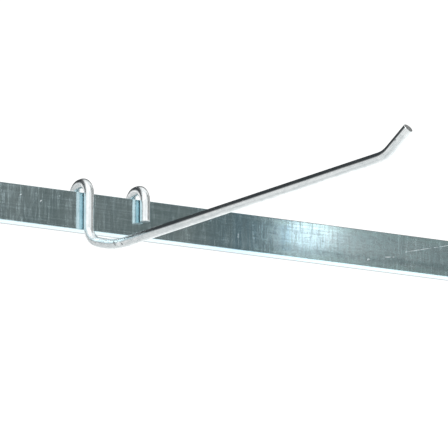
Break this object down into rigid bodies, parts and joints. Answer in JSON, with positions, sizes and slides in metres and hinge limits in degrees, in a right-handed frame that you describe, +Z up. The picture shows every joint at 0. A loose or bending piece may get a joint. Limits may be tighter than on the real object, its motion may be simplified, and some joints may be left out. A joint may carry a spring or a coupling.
{
  "type": "rail hook with display rail",
  "caption": "Bent round-wire hook with a long rising arm and upturned tip, hung by twin arches on a rectangular steel rail and sliding along it.",
  "frame": {"origin": "centre of the rail's left end, on the outer face of the end plug", "axes": "+X along the rail, -Y the side the arm reaches out to, +Z up"},
  "size_m": [0.505, 0.3436, 0.0615],
  "materials": {
    "zinc_sheet": "bright zinc plated, drawn along the rail, fine scratches",
    "zinc_wire": "bright zinc plated, soft drawing lines",
    "plug_plastic": "fine moulded texture"
  },
  "bodies": {
    "rail": {"rail": "zinc_sheet", "end_plug_left": "plug_plastic", "end_plug_right": "plug_plastic"},
    "hook": {"hook_wire": "zinc_wire"}
  },
  "joints": [
    {"name": "hook_slide", "type": "slide", "parent": "rail", "child": "hook", "axis": [1, 0, 0], "range_m": [-0.114, 0.321]}
  ]
}
